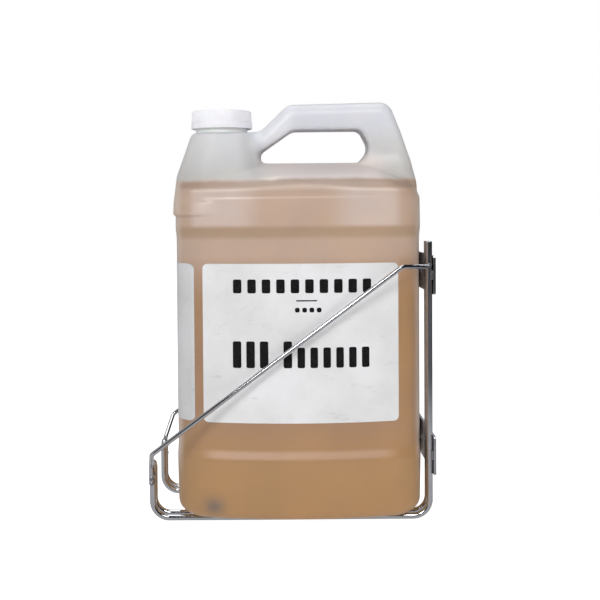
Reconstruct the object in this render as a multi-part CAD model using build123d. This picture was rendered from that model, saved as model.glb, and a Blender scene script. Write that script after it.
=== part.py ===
from build123d import *
import os

# A gallon jug of liquid soap standing in a welded wire wall rack.
# Millimetres. +Z is up, +X points to the wall, -Y is the labelled front.
# Origin: centre of the rack's footprint, on the surface it stands on.

# Rack
RACK_HALF_LENGTH = 93.6
ROD_D = 4.0
GUARD_D = 3.0
FRAME_OUTER_Y = 38.6
ROD_PAIR_PITCH = 10.7
FRAME_BEND_R = 11.0
LEG_X = -91.6
LEG_TOP_Z = 37.0
BACK_ROD_TOP_Z = 182.0
PLATE_T = 1.6
PLATE_H = 25.0
PLATE_LENGTH = 88.0
PLATE_CENTRES_Z = (42.3, 160.0)
SCREW_HOLE_D = 4.5
SCREW_PITCH = 32.0
GUARD_Y = 66.6
GUARD_BEND_R = 7.0

BACK_ROD_X = RACK_HALF_LENGTH - PLATE_T - ROD_D / 2
FRAME_INNER_Y = FRAME_OUTER_Y - ROD_PAIR_PITCH
ROD_TO_GUARD = (ROD_D + GUARD_D) / 2
GUARD_FOOT_X = -RACK_HALF_LENGTH + GUARD_D / 2
GUARD_FOOT_Y = FRAME_OUTER_Y + ROD_TO_GUARD

# The guard's centre line: foot, lower kink, upper kink, welded end.
GUARD_LINE = (
    (GUARD_FOOT_X, GUARD_FOOT_Y, 25.0),
    (GUARD_FOOT_X, GUARD_FOOT_Y, 37.0),
    (-88.6, GUARD_Y, 49.8),
    (69.4, GUARD_Y, 166.9),
    (BACK_ROD_X - 1.6, GUARD_FOOT_Y, 165.6),
)

# Jug
JUG_X = 4.7
JUG_Z = ROD_D
WALL = 1.2
BULGE_HALF_W = 81.8
BULGE_HALF_D = 61.6
PANEL_HALF_W = 80.9
PANEL_HALF_D = 60.5
FACE_CROWN = 12.0
END_CROWN = 2.8
CORNER_R = 26.0
FOOT_ROUND = 12.0
BASE_TOP_Z = 36.0
PANEL_LOW_Z = 50.0
PANEL_HIGH_Z = 178.0
SHOULDER_LOW_Z = 187.0
SHOULDER_HIGH_Z = 207.0
SADDLE_Z = 230.4
LIQUID_Z = 218.6

# Neck tower, as (height, left x, right x, half depth, corner radius)
TOWER_LEVELS = (
    (204.0, -81.4, -14.0, 56.0, 24.0),
    (222.0, -80.2, -20.0, 44.0, 24.0),
    (251.4, -71.6, -27.3, 21.0, 19.0),
)

# Handle, as a front outline and its finger hole
HANDLE_HALF_D = 14.0
HANDLE_ROUND = 5.0
HANDLE_OUTLINE = (
    (-40.0, 200.0),
    (-40.0, 237.5),
    (-6.0, 270.3),
    (62.5, 271.7),
    (70.5, 252.0),
    (77.1, 232.7),
    (80.4, 217.0),
    (80.8, 200.0),
)
HANDLE_CORNER_RADII = (9.0, 12.0, 10.0, 10.0, 30.0, 40.0, 20.0, 9.0)
HOLE_OUTLINE = (
    (-24.6, SADDLE_Z),
    (-24.6, 238.0),
    (-3.2, 252.9),
    (42.9, 253.1),
    (49.9, 239.7),
    (41.7, SADDLE_Z),
)
HOLE_CORNER_RADII = (3.0, 3.0, 9.0, 4.0, 8.0, 5.0)

# Neck finish and screw cap
NECK_X = -51.2
NECK_R = 17.6
NECK_BORE_R = 15.9
NECK_TOP_Z = 264.05
THREAD_PITCH = 25.4 / 6
THREAD_TURNS = 1.25
THREAD_R = 18.8
NECK_THREAD_Z = 257.2
CAP_BOTTOM_Z = 254.5
CAP_TOP_Z = 266.6
CAP_R = 20.8
CAP_TOP_R = 20.2
CAP_BORE_R = 19.2
CAP_THREAD_R = 17.95
CAP_ROOF = 1.5
LINER_T = 1.0
LINER_R = 18.7

# Labels
LABEL_T = 0.2
LABEL_W = 125.0
LABEL_H = 101.4
LABEL_CENTRE_X = 1.1
LABEL_CENTRE_Z = 114.4
LABEL_CORNER_R = 3.2
END_LABEL_W = 101.2

# Weld beads
GUARD_BEAD_R = 2.2
PLATE_BEAD_LENGTH = 6.0
FOOT_BEADS_Z = (26.4, 31.2)


def plan(half_w, half_d, corner, z):
    """The jug's crowned, round-cornered plan section at height z."""
    corner_x = half_w - END_CROWN
    corner_y = half_d - FACE_CROWN
    with BuildSketch(Plane.XY.offset(z)) as section:
        with BuildLine():
            ThreePointArc((-corner_x, -corner_y), (0, -half_d), (corner_x, -corner_y))
            ThreePointArc((corner_x, -corner_y), (half_w, 0), (corner_x, corner_y))
            ThreePointArc((corner_x, corner_y), (0, half_d), (-corner_x, corner_y))
            ThreePointArc((-corner_x, corner_y), (-half_w, 0), (-corner_x, -corner_y))
        make_face()
        fillet(section.vertices(), corner)
    return section.sketch


def ruled_stack(sections):
    """Join neighbouring sections with straight-sided lofts."""
    solid = None
    for low, high in zip(sections, sections[1:]):
        piece = loft([low, high], ruled=True)
        solid = piece if solid is None else solid + piece
    return solid


def jug_body(inset):
    """The jug's main body up to its saddle, with every wall moved in by inset."""
    bulge = (BULGE_HALF_W - inset, BULGE_HALF_D - inset, CORNER_R - inset)
    panel = (PANEL_HALF_W - inset, PANEL_HALF_D - inset, CORNER_R - inset)
    foot = extrude(plan(*bulge, inset), BASE_TOP_Z - inset)
    foot = fillet(foot.faces().sort_by(Axis.Z)[0].edges(), FOOT_ROUND - inset)
    levels = [plan(*bulge, BASE_TOP_Z), plan(*panel, PANEL_LOW_Z), plan(*panel, PANEL_HIGH_Z)]
    levels += [plan(*bulge, SHOULDER_LOW_Z), plan(*bulge, SHOULDER_HIGH_Z)]
    roof_z = SHOULDER_HIGH_Z
    for drop_in, rise in ((2.5, 5.0), (9.0, 5.0), (19.0, 5.0), (31.0, 4.0), (42.0, 3.2)):
        roof_z += rise
        corner = max(CORNER_R - inset - 0.45 * drop_in, 4.0)
        levels.append(plan(bulge[0] - drop_in, bulge[1] - drop_in, corner, roof_z - inset))
    return foot + ruled_stack(levels)


def neck_tower(inset):
    """The sloping block between the shoulder and the neck."""
    sections = []
    for z, left, right, half_d, corner in TOWER_LEVELS:
        width = right - left - 2 * inset
        middle = (left + right) / 2
        top_drop = inset if z == TOWER_LEVELS[-1][0] else 0
        section = Plane.XY.offset(z - top_drop) * Pos(middle, 0) * RectangleRounded(
            width, 2 * (half_d - inset), corner - inset
        )
        sections.append(section)
    return ruled_stack(sections)


def handle_slab(inset):
    """The flat-sided through handle, with rounded edges."""
    outline = rounded_polygon(HANDLE_OUTLINE, HANDLE_CORNER_RADII)
    hole = rounded_polygon(HOLE_OUTLINE, HOLE_CORNER_RADII)
    face = outline - hole
    if inset:
        face = offset(face, -inset, kind=Kind.INTERSECTION)
    half_d = HANDLE_HALF_D - inset
    slab = extrude(face, half_d, both=True)
    rims = slab.faces().filter_by(Axis.Y).edges()
    return fillet(rims, HANDLE_ROUND - inset)


def rounded_polygon(points, radii):
    """A face in the XZ plane with its own radius at each corner."""
    with BuildSketch(Plane.XZ) as shape:
        with BuildLine():
            FilletPolyline(*points, radius=radii, close=True)
        make_face()
    return shape.sketch


def thread_ridge(root_r, crest_r, start_z):
    """A right-handed ridge on the neck's axis, from root_r to crest_r."""
    height = THREAD_PITCH * THREAD_TURNS
    path = Helix(THREAD_PITCH, height, root_r)
    profile = Plane.XZ * Polygon(
        (root_r, -1.05), (crest_r, -0.4), (crest_r, 0.4), (root_r, 1.05), align=None
    )
    return Pos(0, 0, start_z) * sweep(profile, path, is_frenet=True)


def place_jug(shape):
    """Move a shape from the jug's own frame into the rack."""
    return Pos(JUG_X, 0, JUG_Z) * shape


def bottle_shell(cavity):
    """The hollow jug with its through handle and threaded neck."""
    outside = jug_body(0) + neck_tower(0) + handle_slab(0)
    neck_start = TOWER_LEVELS[-1][0] - WALL
    neck_height = NECK_TOP_Z - neck_start
    neck_axis = Pos(NECK_X, 0, 0)
    neck = Pos(0, 0, neck_start) * extrude(Circle(NECK_R), neck_height)
    neck += thread_ridge(NECK_R - 0.3, THREAD_R, NECK_THREAD_Z)
    return outside + neck_axis * neck - cavity


def jug_cavity():
    """The space inside the jug, with the open neck."""
    bore_start = SADDLE_Z
    bore = Pos(NECK_X, 0, bore_start) * extrude(Circle(NECK_BORE_R), NECK_TOP_Z - bore_start)
    return jug_body(WALL) + neck_tower(WALL) + handle_slab(WALL) + bore


def shampoo_fill(cavity):
    """The liquid, level at its fill line."""
    size = 4 * BULGE_HALF_W
    below = Pos(0, 0, LIQUID_Z - size / 2) * Box(size, size, size)
    return cavity & below


def label_skin():
    """A thin band standing on the recessed label panel all round."""
    low = PANEL_LOW_Z + 2
    height = PANEL_HIGH_Z - PANEL_LOW_Z - 4
    outer = plan(PANEL_HALF_W + LABEL_T, PANEL_HALF_D + LABEL_T, CORNER_R + LABEL_T, low)
    inner = plan(PANEL_HALF_W, PANEL_HALF_D, CORNER_R, low)
    return extrude(outer, height) - extrude(inner, height)


def face_label(side):
    """The sticker on the front (side -1) or the back (side +1)."""
    outline = Plane.XZ * RectangleRounded(LABEL_W, LABEL_H, LABEL_CORNER_R)
    cutter = extrude(outline, PANEL_HALF_D * 2)
    reach = Pos(LABEL_CENTRE_X, 0 if side < 0 else PANEL_HALF_D * 2, LABEL_CENTRE_Z)
    return label_skin() & (reach * cutter)


def end_label():
    """The sticker wrapped round the jug's end away from the wall."""
    outline = Plane.YZ * RectangleRounded(END_LABEL_W, LABEL_H, LABEL_CORNER_R)
    cutter = extrude(outline, -PANEL_HALF_W * 2)
    return label_skin() & (Pos(0, 0, LABEL_CENTRE_Z) * cutter)


def screw_cap():
    """The cap, with a draft on its skirt and the thread inside."""
    height = CAP_TOP_Z - CAP_BOTTOM_Z
    skirt = loft([Circle(CAP_R), Pos(0, 0, height) * Circle(CAP_TOP_R)])
    skirt = fillet(skirt.edges().sort_by(Axis.Z)[-1], 1.0)
    skirt -= extrude(Circle(CAP_BORE_R), height - CAP_ROOF)
    ridge_z = NECK_THREAD_Z - THREAD_PITCH / 2 - CAP_BOTTOM_Z + 0.5
    skirt += thread_ridge(CAP_BORE_R + 0.3, CAP_THREAD_R, ridge_z)
    return Pos(NECK_X, 0, CAP_BOTTOM_Z) * skirt


def cap_liner():
    """The sealing disc between the cap's roof and the neck's rim."""
    top_z = CAP_TOP_Z - CAP_ROOF
    disc = extrude(Circle(LINER_R), LINER_T)
    return Pos(NECK_X, 0, top_z - LINER_T) * disc


def side_frame(side):
    """One hairpin of wire: up the wall, under the jug and up the front leg."""
    outer_y = side * FRAME_OUTER_Y
    inner_y = side * FRAME_INNER_Y
    rod_z = ROD_D / 2
    route = (
        (BACK_ROD_X, outer_y, BACK_ROD_TOP_Z),
        (BACK_ROD_X, outer_y, rod_z),
        (LEG_X, outer_y, rod_z),
        (LEG_X, outer_y, LEG_TOP_Z),
        (LEG_X, inner_y, LEG_TOP_Z),
        (LEG_X, inner_y, rod_z),
        (BACK_ROD_X, inner_y, rod_z),
        (BACK_ROD_X, inner_y, BACK_ROD_TOP_Z),
    )
    turn = ROD_PAIR_PITCH / 2 - 0.05
    bends = (FRAME_BEND_R, FRAME_BEND_R, turn, turn, FRAME_BEND_R, FRAME_BEND_R)
    path = FilletPolyline(*route, radius=bends)
    return round_bar(path, ROD_D)


def round_bar(path, diameter):
    """A round bar along a path of straight runs and tangent arcs."""
    start = Plane(origin=path @ 0, z_dir=path % 0)
    return sweep(start * Circle(diameter / 2), path)


def guard_rod(side):
    """The slanted side guard, welded to the leg and to the wall rod."""
    route = [(x, side * y, z) for x, y, z in GUARD_LINE]
    path = FilletPolyline(*route, radius=(GUARD_BEND_R, GUARD_BEND_R, GUARD_BEND_R))
    return round_bar(path, GUARD_D)


def wall_plate(centre_z):
    """A flat bar across the wall rods, with two screw holes."""
    plate = Box(PLATE_T, PLATE_LENGTH, PLATE_H)
    plate = chamfer(plate.edges().filter_by(Axis.X), 1.0)
    for side in (-1, 1):
        hole = Plane.YZ * Pos(side * SCREW_PITCH / 2, 0) * Circle(SCREW_HOLE_D / 2)
        plate -= extrude(hole, PLATE_T, both=True)
    return Pos(RACK_HALF_LENGTH - PLATE_T / 2, 0, centre_z) * plate


def beads(places, radius, metal):
    """Balls of weld metal, with the bars and plates they join taken out."""
    group = []
    for place in places:
        solid = Pos(*place) * Sphere(radius)
        for bar in metal:
            solid = solid - bar
        group += solid.solids()
    return Compound(children=group)


def guard_welds(metal):
    """Beads at each guard's foot and at its upper end."""
    foot_x = (LEG_X + GUARD_FOOT_X) / 2
    foot_y = (FRAME_OUTER_Y + GUARD_FOOT_Y) / 2
    end_x, end_y, end_z = GUARD_LINE[-1]
    places = []
    for side in (-1, 1):
        places += [(foot_x, side * foot_y, z) for z in FOOT_BEADS_Z]
        places.append((end_x + 1.0, side * (end_y - 1.2), end_z))
    return beads(places, GUARD_BEAD_R, metal)


def plate_welds(metal):
    """A three-cornered run of weld on each side of every wall rod, at both plates."""
    plate_x = RACK_HALF_LENGTH - PLATE_T
    group = []
    for centre_z in PLATE_CENTRES_Z:
        for rod_y in (FRAME_OUTER_Y, FRAME_INNER_Y, -FRAME_INNER_Y, -FRAME_OUTER_Y):
            for side in (-1, 1):
                section = Polygon(
                    (plate_x, rod_y + side * 0.9),
                    (plate_x, rod_y + side * 3.0),
                    (plate_x - 1.6, rod_y + side * 2.1),
                    align=None,
                )
                run = extrude(section, PLATE_BEAD_LENGTH / 2, both=True)
                run = Pos(0, 0, centre_z) * run
                for frame in metal[:3:2]:
                    run = run - frame
                group += run.solids()
    return Compound(children=group)


def write(name, shape):
    """Write one sub-part."""
    shape.label = name
    export_step(shape, f"parts/{name}.step")


def main():
    os.makedirs("parts", exist_ok=True)

    cavity = jug_cavity()
    write("bottle_shell", place_jug(bottle_shell(cavity)))
    write("shampoo_fill", place_jug(shampoo_fill(cavity)))
    write("front_label", place_jug(face_label(-1)))
    write("back_label", place_jug(face_label(1)))
    write("end_label", place_jug(end_label()))
    write("screw_cap", place_jug(screw_cap()))
    write("cap_liner", place_jug(cap_liner()))

    metal = []
    for name, side in (("front", -1), ("rear", 1)):
        frame = side_frame(side)
        guard = guard_rod(side)
        write(f"{name}_side_frame", frame)
        write(f"{name}_guard_rod", guard)
        metal += [frame, guard]
    for name, centre_z in zip(("lower", "upper"), PLATE_CENTRES_Z):
        plate = wall_plate(centre_z)
        write(f"{name}_wall_plate", plate)
        metal.append(plate)
    write("guard_welds", guard_welds(metal))
    write("plate_welds", plate_welds(metal))


if __name__ == "__main__":
    main()
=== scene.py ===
import math

import bpy
import numpy as np
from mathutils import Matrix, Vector


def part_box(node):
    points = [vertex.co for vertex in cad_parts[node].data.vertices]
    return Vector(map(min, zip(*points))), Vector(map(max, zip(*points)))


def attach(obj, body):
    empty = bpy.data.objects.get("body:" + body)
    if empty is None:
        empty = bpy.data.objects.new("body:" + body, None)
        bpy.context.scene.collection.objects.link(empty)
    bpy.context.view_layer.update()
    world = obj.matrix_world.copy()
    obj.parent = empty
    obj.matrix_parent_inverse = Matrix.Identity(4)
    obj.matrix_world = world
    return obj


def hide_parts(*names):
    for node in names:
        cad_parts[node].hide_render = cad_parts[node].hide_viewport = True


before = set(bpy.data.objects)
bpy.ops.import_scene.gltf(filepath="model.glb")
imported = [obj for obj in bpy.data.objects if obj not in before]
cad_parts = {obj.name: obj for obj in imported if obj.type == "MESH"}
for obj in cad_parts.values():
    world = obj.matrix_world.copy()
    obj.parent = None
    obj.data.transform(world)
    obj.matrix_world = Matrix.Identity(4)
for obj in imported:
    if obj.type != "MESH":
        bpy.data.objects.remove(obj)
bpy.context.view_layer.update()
MM = 0.001

# The jug's own frame, in millimetres: x and y from its axis, z from its foot.
jug_low, jug_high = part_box("bottle_shell")
JUG_X = (jug_low.x + jug_high.x) / 2 / MM
JUG_Z = jug_low.z / MM
cap_low, cap_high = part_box("screw_cap")
NECK_X = (cap_low.x + cap_high.x) / 2 / MM - JUG_X
CAP_BOTTOM = cap_low.z / MM - JUG_Z
CAP_TOP = cap_high.z / MM - JUG_Z
CAP_R = (cap_high.x - cap_low.x) / 2 / MM
label_low, label_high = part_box("front_label")
LABEL_Z = (label_low.z + label_high.z) / 2 / MM - JUG_Z
LABEL_H = (label_high.z - label_low.z) / MM
LABEL_X = (label_low.x + label_high.x) / 2 / MM - JUG_X
LABEL_W = (label_high.x - label_low.x) / MM
end_low, end_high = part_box("end_label")
END_LABEL_W = (end_high.y - end_low.y) / MM

# Jug shape. A crown is how far a face or an end bows out between its corners.
PANEL_HALF_W = 80.9
PANEL_HALF_D = 60.5
FACE_CROWN = 12.0
END_CROWN = 2.8
CORNER_R = 26.0
CORNER_SHRINK = 0.45
FOOT_ROUND = 9.5
PUSH_UP = 3.0
PUSH_UP_START = 16.0
PUSH_UP_RUN = 8.0
LIQUID_Z = 218.6
SADDLE_Z = 230.4
SHOULDER_ROUND = 1.5
FACE_R = ((PANEL_HALF_W - END_CROWN) ** 2 + FACE_CROWN**2) / (2 * FACE_CROWN)
END_R = ((PANEL_HALF_D - FACE_CROWN) ** 2 + END_CROWN**2) / (2 * END_CROWN)
# How far an end and a face stand in from the label panel at each height.
INSET_Z = (0, 14, 36, 39.5, 46.0, 50, 178, 181.5, 187.6, 207, 212, 217, 222, 226, 229.2, 240)
INSET_END = (0.2, -0.1, -0.5, -0.5, 0, 0, 0, 0, -0.6, -0.4, 1.6, 8.1, 18.1, 30, 41.5, 41.5)
INSET_FACE = (0.0, -0.4, -1.7, -1.7, 0, 0, 0, 0, -1.7, -1.2, 1.6, 8.1, 18.1, 30, 41.5, 41.5)
INSET_BLUR = 1.1
INSET_STEP = 0.25
INSET_REACH = 24
# Neck tower at each height: left x, right x, half depth, corner radius.
TOWER = (
    (196.0, -81.6, -12.0, 57.0, 24.0),
    (204.0, -81.4, -14.0, 56.0, 24.0),
    (222.0, -80.2, -20.0, 44.0, 24.0),
    (251.4, -71.6, -27.3, 21.0, 19.0),
)
TOWER_BOTTOM = 196.0
TOWER_TOP = 251.4
TOWER_ROUND = 2.5
TOWER_LEAN = 0.9
# Handle and its hole, seen from the front: corners and the radius of each.
HANDLE = (
    (-40.0, 200.0), (-40.0, 237.5), (-6.0, 270.3), (62.5, 271.7),
    (70.5, 252.0), (77.1, 232.7), (80.4, 217.0), (80.8, 200.0),
)
HANDLE_RADII = (9, 12, 10, 10, 30, 40, 20, 9)
HOLE = (
    (-24.6, SADDLE_Z), (-24.6, 238.0), (-3.2, 252.9),
    (42.9, 253.1), (49.9, 239.7), (41.7, SADDLE_Z),
)
HOLE_RADII = (4, 4, 10, 6, 9, 6)
HOLE_BLEND = 3.0
HANDLE_BOTTOM = 204.0
HANDLE_HALF_D = 14.0
HANDLE_ROUND = 8.0
HANDLE_FLARE = 9.0
FLARE_Z = (208.0, 240.0)
# How softly tower, handle and shoulder run together, and where that grows.
BLEND = 0.6
BLEND_GROWTH = 7.4
BLEND_Z = (208.0, 224.0)
GRID = 1.3
SKIN_LOW = np.array([-84.0, -65.0, -3.0])
SKIN_HIGH = np.array([84.0, 65.0, 275.0])

# Neck and cap
NECK_TOP = 264.05
NECK_R = 17.6
BORE_R = 15.9
THREAD_PITCH = 25.4 / 6
THREAD_TURNS = 1.25
THREAD_START = 257.2
THREAD_HEIGHT = 1.2
CAP_BAND = 4.6
CAP_BORE = 19.2
CAP_RIBS = 120
RIB_DEPTH = 0.28

# Labels
LABEL_T = 0.2
LABEL_CORNER = 3.2
PRINT_T = 0.12


def put(name, points, faces, body, slot, material, replaces=(), sharp=None):
    """A mesh from points in the jug's own frame, riding on a body, creased above an angle."""
    place = np.array([JUG_X, 0, JUG_Z])
    mesh = bpy.data.meshes.new(name)
    world = (np.asarray(points, float) + place) * MM
    mesh.from_pydata([tuple(p) for p in world], [], [tuple(int(i) for i in f) for f in faces])
    mesh.validate()
    mesh.update()
    mesh.shade_smooth()
    if sharp:
        mesh.set_sharp_from_angle(angle=math.radians(sharp))
    mesh.materials.append(material)
    piece = bpy.data.objects.new(name, mesh)
    bpy.context.scene.collection.objects.link(piece)
    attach(piece, body)
    if replaces:
        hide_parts(*replaces)
    return piece


# ---------------------------------------------------------------- jug skin

def rounded(points, radii):
    """A closed polyline with an arc at each corner."""
    out = []
    n = len(points)
    for i in range(n):
        p = np.array(points[i], float)
        a = np.array(points[i - 1], float) - p
        b = np.array(points[(i + 1) % n], float) - p
        a /= np.linalg.norm(a)
        b /= np.linalg.norm(b)
        half = math.acos(np.clip(a @ b, -1, 1)) / 2
        reach = radii[i] / math.tan(half)
        middle = (a + b) / np.linalg.norm(a + b)
        centre = p + middle * radii[i] / math.sin(half)
        start = p + a * reach - centre
        end = p + b * reach - centre
        t0 = math.atan2(start[1], start[0])
        turn = (math.atan2(end[1], end[0]) - t0 + math.pi) % (2 * math.pi) - math.pi
        for k in range(11):
            t = t0 + turn * k / 10
            out.append(centre + radii[i] * np.array([math.cos(t), math.sin(t)]))
    return np.array(out)


class Outline:
    """Signed distance to a closed outline in x and z, from a fine table."""

    STEP = 0.5

    def __init__(self, loop):
        self.x = np.arange(-95, 95.1, self.STEP)
        self.z = np.arange(185, 285.1, self.STEP)
        gx, gz = np.meshgrid(self.x, self.z, indexing="ij")
        best = np.full(gx.shape, 1e9)
        inside = np.zeros(gx.shape, bool)
        for a, b in zip(loop, np.roll(loop, -1, axis=0)):
            d = b - a
            t = np.clip(((gx - a[0]) * d[0] + (gz - a[1]) * d[1]) / max(d @ d, 1e-12), 0, 1)
            best = np.minimum(best, (gx - a[0] - t * d[0]) ** 2 + (gz - a[1] - t * d[1]) ** 2)
            if a[1] != b[1]:
                spans = (a[1] > gz) != (b[1] > gz)
                inside ^= spans & (gx < a[0] + d[0] * (gz - a[1]) / d[1])
        self.table = np.sqrt(best) * np.where(inside, -1, 1)

    def __call__(self, x, z):
        fx = np.clip((x - self.x[0]) / self.STEP, 0, len(self.x) - 1.001)
        fz = np.clip((z - self.z[0]) / self.STEP, 0, len(self.z) - 1.001)
        i, k = fx.astype(int), fz.astype(int)
        u, v = fx - i, fz - k
        t = self.table
        low = t[i, k] * (1 - u) + t[i + 1, k] * u
        high = t[i, k + 1] * (1 - u) + t[i + 1, k + 1] * u
        below = np.maximum(self.z[0] - z, 0)
        return low * (1 - v) + high * v + below


handle_outline = Outline(rounded(HANDLE, HANDLE_RADII))
hole_outline = Outline(rounded(HOLE, HOLE_RADII))
fine_z = np.arange(-10, 245, INSET_STEP)
blur = np.exp(-((np.arange(-INSET_REACH, INSET_REACH + 1) * INSET_STEP / INSET_BLUR) ** 2))
blur /= blur.sum()


def softened(levels):
    """The inset at every step of height, with its corners rounded."""
    line = np.interp(fine_z, INSET_Z, levels)
    return np.convolve(np.pad(line, INSET_REACH, mode="edge"), blur, mode="valid")


end_inset = softened(INSET_END)
face_inset = softened(INSET_FACE)


def step_up(v, low, high):
    """A smooth step from 0 at low to 1 at high."""
    t = np.clip((v - low) / (high - low), 0, 1)
    return t * t * (3 - 2 * t)


def round_max(a, b, r):
    """What lies inside both a and b, with the edge between them rounded to r."""
    u = np.maximum(a + r, 0)
    v = np.maximum(b + r, 0)
    return np.minimum(-r, np.maximum(a, b)) + np.hypot(u, v)


def soft_min(a, b, k):
    """What lies inside a or b, blended over a reach of k."""
    h = np.clip(0.5 + 0.5 * (b - a) / k, 0, 1)
    return b * (1 - h) + a * h - k * h * (1 - h)


def corner_centre(half_w, half_d, corner):
    """Where the corner's arc is centred, so that it runs on smoothly from face to end."""
    fy, ex = half_d - FACE_R, half_w - END_R
    ra, rb = FACE_R - corner, END_R - corner
    gap = np.hypot(ex, fy)
    along = (ra**2 - rb**2 + gap**2) / (2 * gap)
    aside = np.sqrt(ra**2 - along**2)
    dx, dy = ex / gap, -fy / gap
    return along * dx + aside * dy, fy + along * dy - aside * dx


def plan_side(x, y, half_w, half_d, corner):
    """Distance outside the crowned, round-cornered plan of that half width and half depth."""
    x, y = np.abs(x), np.abs(y)
    cx, cy = corner_centre(half_w, half_d, corner)
    up, across = y + FACE_R - half_d, x + END_R - half_w
    face = np.hypot(x, up) - FACE_R
    end = np.hypot(y, across) - END_R
    past_face = x * (cy + FACE_R - half_d) > cx * up
    past_end = y * (cx + END_R - half_w) > cy * across
    arc = np.hypot(x - cx, y - cy) - corner
    return np.where(past_face & past_end, arc, np.maximum(face, end))


def panel_side(x, y):
    return plan_side(x, y, PANEL_HALF_W, PANEL_HALF_D, CORNER_R)


def body_field(x, y, z):
    face_in = np.interp(z, fine_z, face_inset)
    end_in = np.interp(z, fine_z, end_inset)
    corner = CORNER_R - CORNER_SHRINK * np.maximum(face_in, 0)
    side = plan_side(x, y, PANEL_HALF_W - end_in, PANEL_HALF_D - face_in, corner)
    hollow = PUSH_UP * np.clip((-side - PUSH_UP_START) / PUSH_UP_RUN, 0, 1) ** 2
    body = round_max(side, hollow - z, FOOT_ROUND)
    return round_max(body, z - SADDLE_Z, SHOULDER_ROUND)


def tower_field(x, y, z):
    left, right, depth, corner = (
        np.interp(z, [t[0] for t in TOWER], [t[i] for t in TOWER]) for i in (1, 2, 3, 4)
    )
    qx = np.abs(x - (left + right) / 2) - (right - left) / 2 + corner
    qy = np.abs(y) - depth + corner
    tower = np.hypot(np.maximum(qx, 0), np.maximum(qy, 0)) + np.minimum(np.maximum(qx, qy), 0)
    tower = round_max((tower - corner) * TOWER_LEAN, z - TOWER_TOP, TOWER_ROUND)
    return np.maximum(tower, TOWER_BOTTOM - z)


def handle_field(x, y, z):
    flare = HANDLE_FLARE * (1 - step_up(z, *FLARE_Z))
    handle = round_max(handle_outline(x, z), np.abs(y) - HANDLE_HALF_D - flare, HANDLE_ROUND)
    return np.maximum(handle, HANDLE_BOTTOM - z)


def jug_field(x, y, z):
    """Below zero inside the jug, near a distance in millimetres close to its skin."""
    reach = BLEND + BLEND_GROWTH * step_up(z, *BLEND_Z)
    whole = soft_min(body_field(x, y, z), tower_field(x, y, z), reach)
    whole = soft_min(whole, handle_field(x, y, z), reach)
    return -soft_min(-whole, hole_outline(x, z), HOLE_BLEND)


def surface_net(value, origin, step):
    """One point in each cell that the surface crosses, joined into four-sided faces."""
    inside = value < 0
    shape = tuple(n - 1 for n in value.shape)
    count = np.zeros(shape, np.int8)
    corners = np.array([[i, j, k] for i in (0, 1) for j in (0, 1) for k in (0, 1)])
    for i, j, k in corners:
        count += inside[i : i + shape[0], j : j + shape[1], k : k + shape[2]]
    active = (count > 0) & (count < 8)
    cells = np.argwhere(active)
    index = np.full(shape, -1)
    index[active] = np.arange(len(cells))
    at = cells[:, None, :] + corners[None]
    v = value[at[..., 0], at[..., 1], at[..., 2]]
    total = np.zeros((len(cells), 3))
    hits = np.zeros(len(cells))
    for a in range(8):
        for b in range(a + 1, 8):
            if np.abs(corners[a] - corners[b]).sum() != 1:
                continue
            cross = (v[:, a] < 0) != (v[:, b] < 0)
            t = v[cross, a] / (v[cross, a] - v[cross, b])
            total[cross] += corners[a] + t[:, None] * (corners[b] - corners[a])
            hits[cross] += 1
    points = origin + step * (cells + total / hits[:, None])
    quads = []
    for axis in range(3):
        e1 = np.eye(3, dtype=int)[(axis + 1) % 3]
        e2 = np.eye(3, dtype=int)[(axis + 2) % 3]
        low = np.take(inside, range(0, inside.shape[axis] - 1), axis)
        high = np.take(inside, range(1, inside.shape[axis]), axis)
        at = np.argwhere(low != high)
        ring = [index[tuple((at - s * e1 - t * e2).T)] for s, t in ((0, 0), (1, 0), (1, 1), (0, 1))]
        quad = np.stack(ring, 1)
        outward = low[tuple(at.T)]
        quad[~outward] = quad[~outward][:, ::-1]
        quads.append(quad)
    return points, np.concatenate(quads)


def onto_surface(points, rounds=3):
    """Move points along the field's slope until they lie on the skin."""
    h = 0.05
    for _ in range(rounds):
        x, y, z = points.T
        f = jug_field(x, y, z)
        slope = np.stack([
            jug_field(x + h, y, z) - jug_field(x - h, y, z),
            jug_field(x, y + h, z) - jug_field(x, y - h, z),
            jug_field(x, y, z + h) - jug_field(x, y, z - h),
        ], 1) / (2 * h)
        size = np.maximum((slope**2).sum(1), 0.2)
        move = -slope * (f / size)[:, None]
        points = points + np.clip(move, -0.8, 0.8)
    return points


def relaxed(points, quads):
    """Each point drawn towards the middle of its neighbours."""
    a = quads.ravel()
    b = np.roll(quads, -1, axis=1).ravel()
    n = len(points)
    both_a, both_b = np.concatenate([a, b]), np.concatenate([b, a])
    count = np.bincount(both_a, minlength=n)
    mean = np.stack([np.bincount(both_a, points[both_b, i], n) for i in range(3)], 1)
    return points * 0.4 + 0.6 * mean / count[:, None]


def jug_skin():
    gx, gy, gz = (np.arange(low, high, GRID) for low, high in zip(SKIN_LOW, SKIN_HIGH))
    zeros = np.zeros((len(gx), len(gy), len(gz)))
    x = gx[:, None, None] + zeros
    y = gy[None, :, None] + zeros
    z = gz[None, None, :] + zeros
    points, quads = surface_net(jug_field(x, y, z), SKIN_LOW, GRID)
    for _ in range(2):
        points = onto_surface(relaxed(points, quads), 1)
    return onto_surface(points, 2), quads


# ------------------------------------------------------------- jug colours

def linear(rgb):
    c = np.asarray(rgb, float) / 255
    return np.where(c <= 0.04045, c / 12.92, ((c + 0.055) / 1.055) ** 2.4)


def mix(a, b, t):
    return a * (1 - t[:, None]) + b * t[:, None]


def window(v, rise, full, fall, gone):
    """One between full and fall, and zero outside rise and gone."""
    return step_up(v, rise, full) * (1 - step_up(v, fall, gone))


def hump(v, middle, width):
    return np.exp(-(((v - middle) / width) ** 2))


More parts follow.
